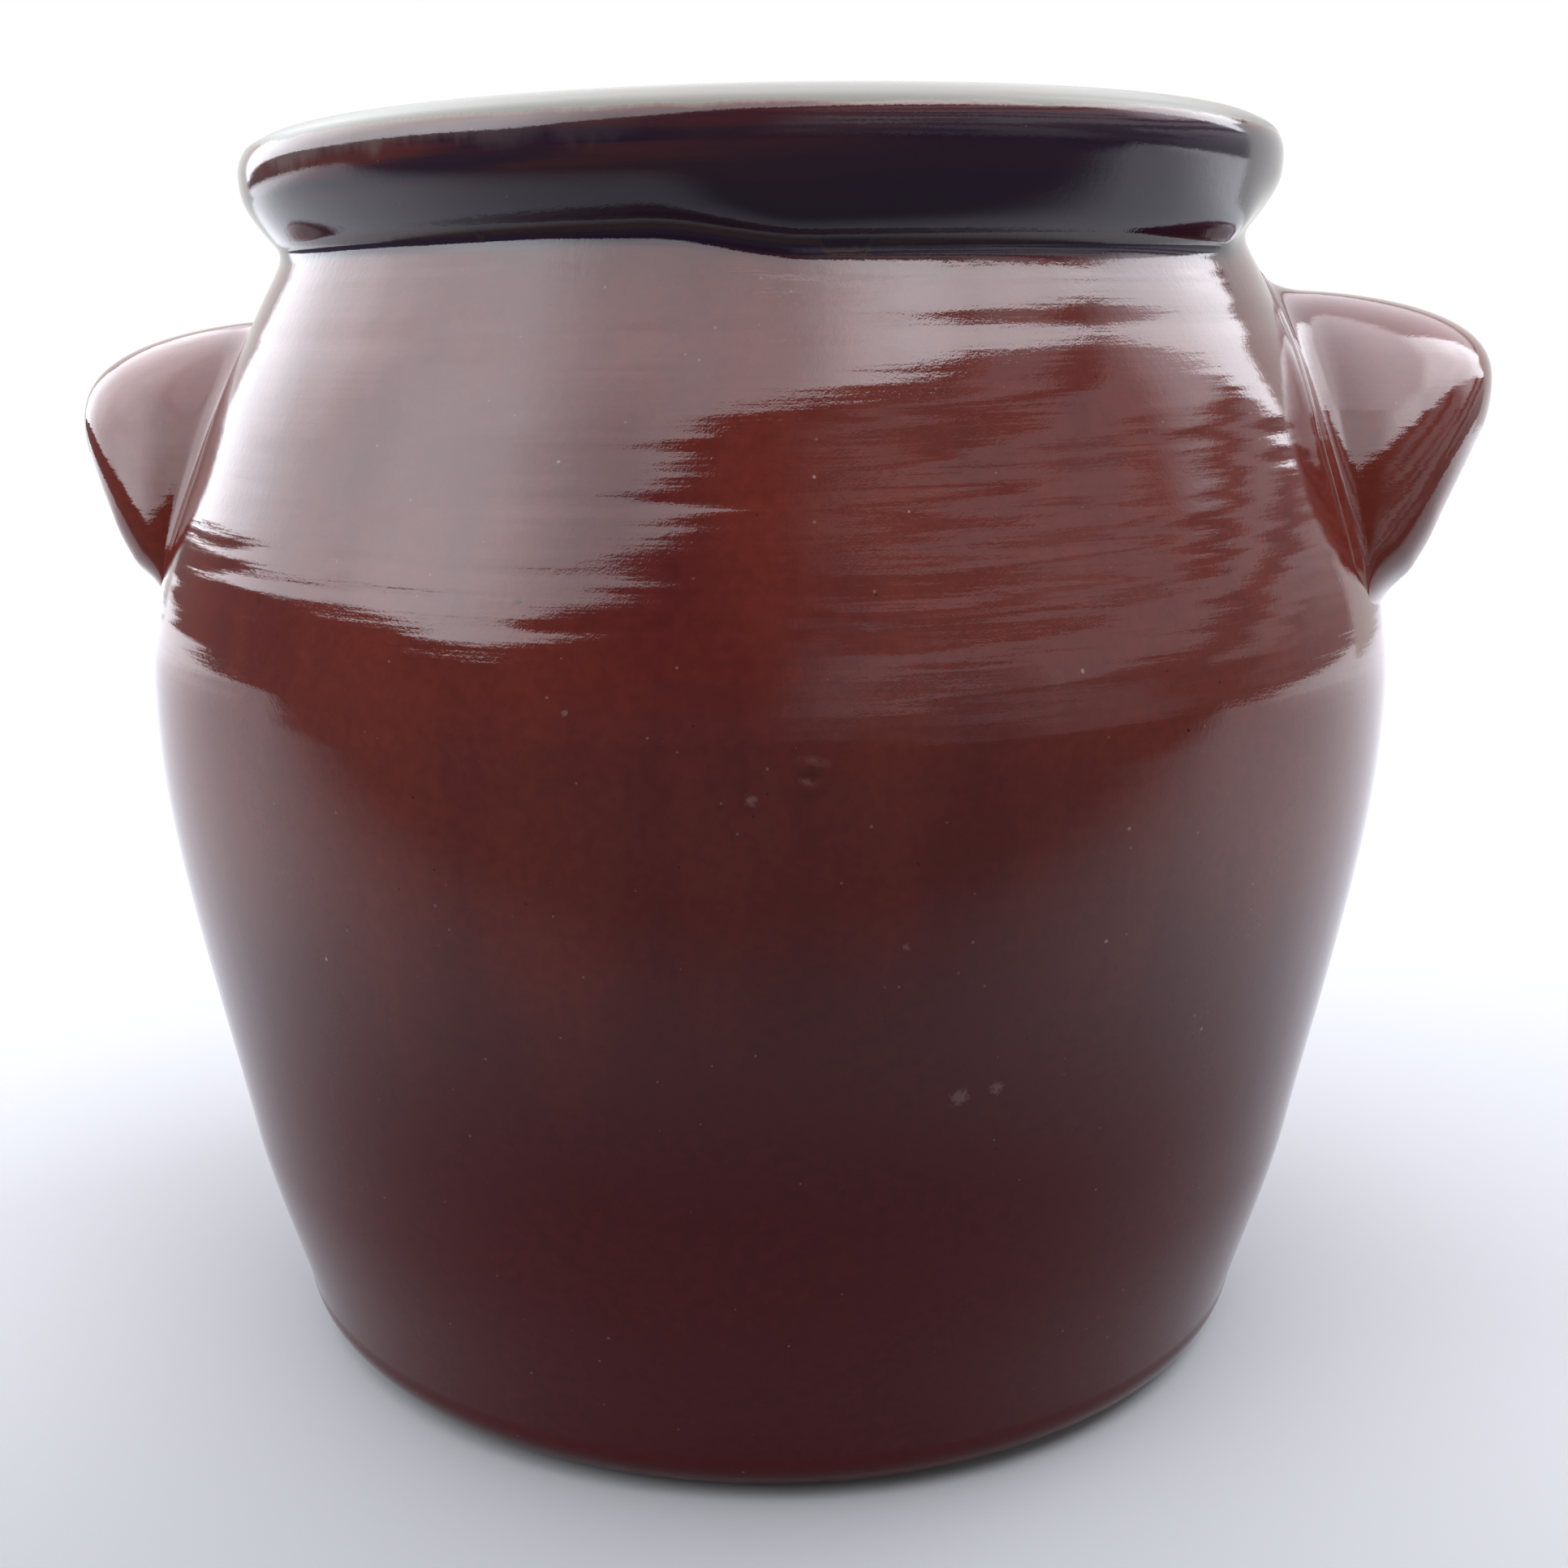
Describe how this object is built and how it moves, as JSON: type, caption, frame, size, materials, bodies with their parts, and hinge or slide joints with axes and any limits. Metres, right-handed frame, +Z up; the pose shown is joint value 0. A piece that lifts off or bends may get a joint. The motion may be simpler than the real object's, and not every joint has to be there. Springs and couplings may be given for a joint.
{
  "type": "confit jar",
  "caption": "Wide glazed stoneware jar with a rolled rim, a short neck, a round shoulder tapering to a flat foot, and an ear lug on each side.",
  "frame": {"origin": "centre of the flat foot, on the surface that the jar stands on", "axes": "+Z up along the jar's axis, +X out through the right lug, -Y towards the side that the picture shows"},
  "size_m": [0.32, 0.2826, 0.2725],
  "materials": {
    "brown_glaze": "gloss"
  },
  "bodies": {
    "root": {"jar_body": "brown_glaze", "left_lug": "brown_glaze", "right_lug": "brown_glaze"}
  },
  "joints": []
}
